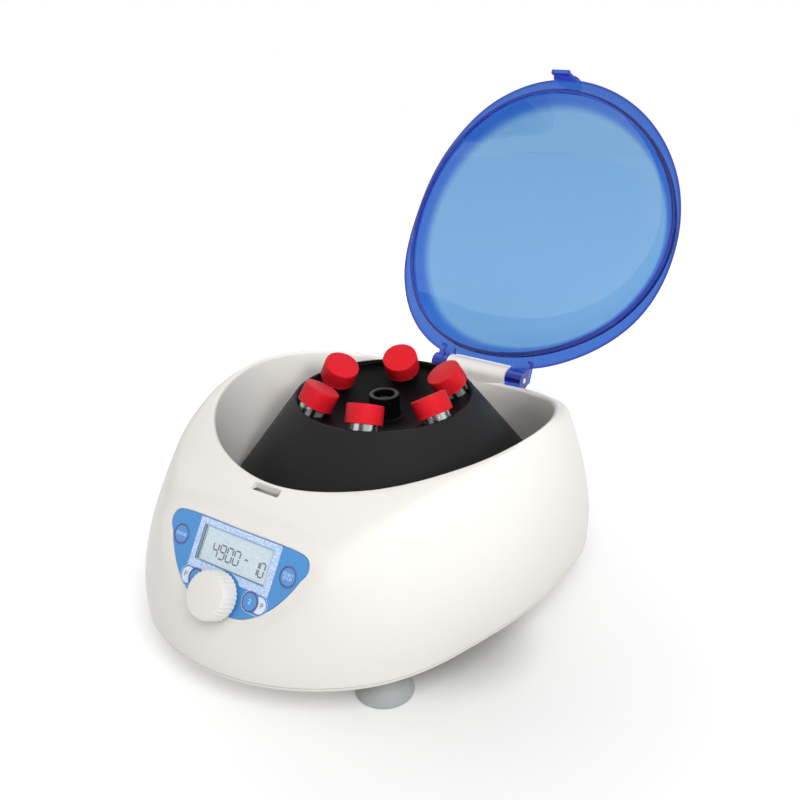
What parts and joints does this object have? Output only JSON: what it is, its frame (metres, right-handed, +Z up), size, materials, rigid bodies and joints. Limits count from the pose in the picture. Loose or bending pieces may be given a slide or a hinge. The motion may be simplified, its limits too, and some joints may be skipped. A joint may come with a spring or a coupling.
{
  "type": "low-speed bench centrifuge",
  "caption": "Low-speed clinical bench centrifuge: moulded housing with tilted key panel, fixed-angle rotor with capped glass tubes, clear domed lid open on its rear hinge, suction feet.",
  "frame": {"origin": "centre of the whole box's underside, on the bench, with the lid open at rest", "axes": "+Z up, the panel and knob face -Y, the lid's hinge is at +Y, the machine is symmetrical about X = 0 apart from the rotor's phase and the rear inlet and switch"},
  "size_m": [0.2324, 0.3902, 0.2643],
  "materials": {
    "housing_plastic": "satin moulded",
    "tray_plastic": "moulded",
    "blue_clear": "clear tinted",
    "rotor_black": "black fine-grained coat",
    "cap_red": "moulded",
    "tube_glass": "clear",
    "film_blue": "printed film",
    "window_clear": "clear",
    "knob_white": "satin",
    "black_plastic": "satin",
    "white_nylon": "satin",
    "steel": "plain",
    "motor_metal": "satin",
    "board_green": "lacquered",
    "soft_black": "matt",
    "foot_rubber": "smooth grey",
    "coil": "wound and taped"
  },
  "bodies": {
    "base": {"upper_housing": "housing_plastic", "base_tray": "tray_plastic", "chamber_floor": "housing_plastic", "shaft_seal": "soft_black", "motor": "motor_metal", "motor_plate": "steel", "motor_damper_1": "soft_black", "motor_damper_2": "soft_black", "motor_damper_3": "soft_black", "foot_1": "foot_rubber", "foot_2": "foot_rubber", "foot_3": "foot_rubber", "foot_4": "foot_rubber", "foot_stud_1": "steel", "foot_stud_2": "steel", "foot_stud_3": "steel", "foot_stud_4": "steel", "housing_screw_1": "steel", "housing_screw_2": "steel", "housing_screw_3": "steel", "housing_screw_4": "steel", "hinge_pin_left": "steel", "hinge_pin_right": "steel", "latch_bracket": "steel", "latch_solenoid": "coil", "lid_switch": "black_plastic", "key_film": "film_blue", "display_window": "window_clear", "display_module": "black_plastic", "control_board": "board_green", "encoder": "steel", "power_board": "board_green", "power_inlet": "black_plastic", "power_switch": "black_plastic"},
    "lid_body": {"lid": "blue_clear"},
    "rotor_unit": {"rotor": "rotor_black", "rotor_nut": "steel", "motor_shaft": "steel"},
    "knob_unit": {"knob": "knob_white", "encoder_shaft": "steel"},
    "door_key": {"key_door": "film_blue"},
    "start_stop_key": {"key_start_stop": "film_blue"},
    "program_one_key": {"key_one": "film_blue"},
    "program_two_key": {"key_two": "film_blue"},
    "pawl": {"latch_pawl": "white_nylon"},
    "plunger": {"latch_plunger": "steel"},
    "rocker": {"power_rocker": "black_plastic"},
    "tube_unit_1": {"tube_1": "tube_glass", "cap_1": "cap_red"},
    "tube_unit_2": {"tube_2": "tube_glass", "cap_2": "cap_red"},
    "tube_unit_3": {"tube_3": "tube_glass", "cap_3": "cap_red"},
    "tube_unit_4": {"tube_4": "tube_glass", "cap_4": "cap_red"},
    "tube_unit_5": {"tube_5": "tube_glass", "cap_5": "cap_red"},
    "tube_unit_6": {"tube_6": "tube_glass", "cap_6": "cap_red"}
  },
  "joints": [
    {"name": "lid_hinge", "type": "hinge", "parent": "base", "child": "lid_body", "pos_m": [0, 0.07089, 0.08298], "axis": [-1, 0, 0], "range_deg": [-121.1, 0]},
    {"name": "rotor_spin", "type": "hinge", "parent": "base", "child": "rotor_unit", "pos_m": [0, -0.03441, 0.08], "axis": [0, 0, 1], "continuous": true},
    {"name": "tube_lift_1", "type": "slide", "parent": "rotor_unit", "child": "tube_unit_1", "axis": [-0.1751, 0.4683, 0.866], "range_m": [0, 0.024]},
    {"name": "tube_lift_2", "type": "slide", "parent": "rotor_unit", "child": "tube_unit_2", "axis": [-0.4931, 0.0825, 0.866], "range_m": [0, 0.024]},
    {"name": "tube_lift_3", "type": "slide", "parent": "rotor_unit", "child": "tube_unit_3", "axis": [-0.318, -0.3858, 0.866], "range_m": [0, 0.024]},
    {"name": "tube_lift_4", "type": "slide", "parent": "rotor_unit", "child": "tube_unit_4", "axis": [0.1751, -0.4683, 0.866], "range_m": [0, 0.024]},
    {"name": "tube_lift_5", "type": "slide", "parent": "rotor_unit", "child": "tube_unit_5", "axis": [0.4931, -0.0825, 0.866], "range_m": [0, 0.024]},
    {"name": "tube_lift_6", "type": "slide", "parent": "rotor_unit", "child": "tube_unit_6", "axis": [0.318, 0.3858, 0.866], "range_m": [0, 0.024]},
    {"name": "knob_turn", "type": "hinge", "parent": "base", "child": "knob_unit", "pos_m": [0, -0.17704, 0.04869], "axis": [0, -0.8358, 0.549], "continuous": true},
    {"name": "door_key_press", "type": "slide", "parent": "base", "child": "door_key", "axis": [0, 0.8358, -0.549], "range_m": [0, 0.0004], "stiffness_N_per_m": 3000},
    {"name": "start_stop_key_press", "type": "slide", "parent": "base", "child": "start_stop_key", "axis": [0, 0.8358, -0.549], "range_m": [0, 0.0004], "stiffness_N_per_m": 3000},
    {"name": "program_one_press", "type": "slide", "parent": "base", "child": "program_one_key", "axis": [0, 0.8358, -0.549], "range_m": [0, 0.0004], "stiffness_N_per_m": 3000},
    {"name": "program_two_press", "type": "slide", "parent": "base", "child": "program_two_key", "axis": [0, 0.8358, -0.549], "range_m": [0, 0.0004], "stiffness_N_per_m": 3000},
    {"name": "pawl_turn", "type": "hinge", "parent": "base", "child": "pawl", "pos_m": [0, -0.14431, 0.07412], "axis": [1, 0, 0], "range_deg": [-14, 0]},
    {"name": "plunger_slide", "type": "slide", "parent": "base", "child": "plunger", "axis": [0, 0, 1], "range_m": [-0.00073, 0]},
    {"name": "rocker_tilt", "type": "hinge", "parent": "base", "child": "rocker", "pos_m": [-0.0155, 0.07944, 0.03875], "axis": [1, 0, 0], "range_deg": [-18, 0]}
  ],
  "couplings": [
    {"joint": "pawl_turn", "follows": "plunger_slide", "rad_per_m": 333.33}
  ]
}
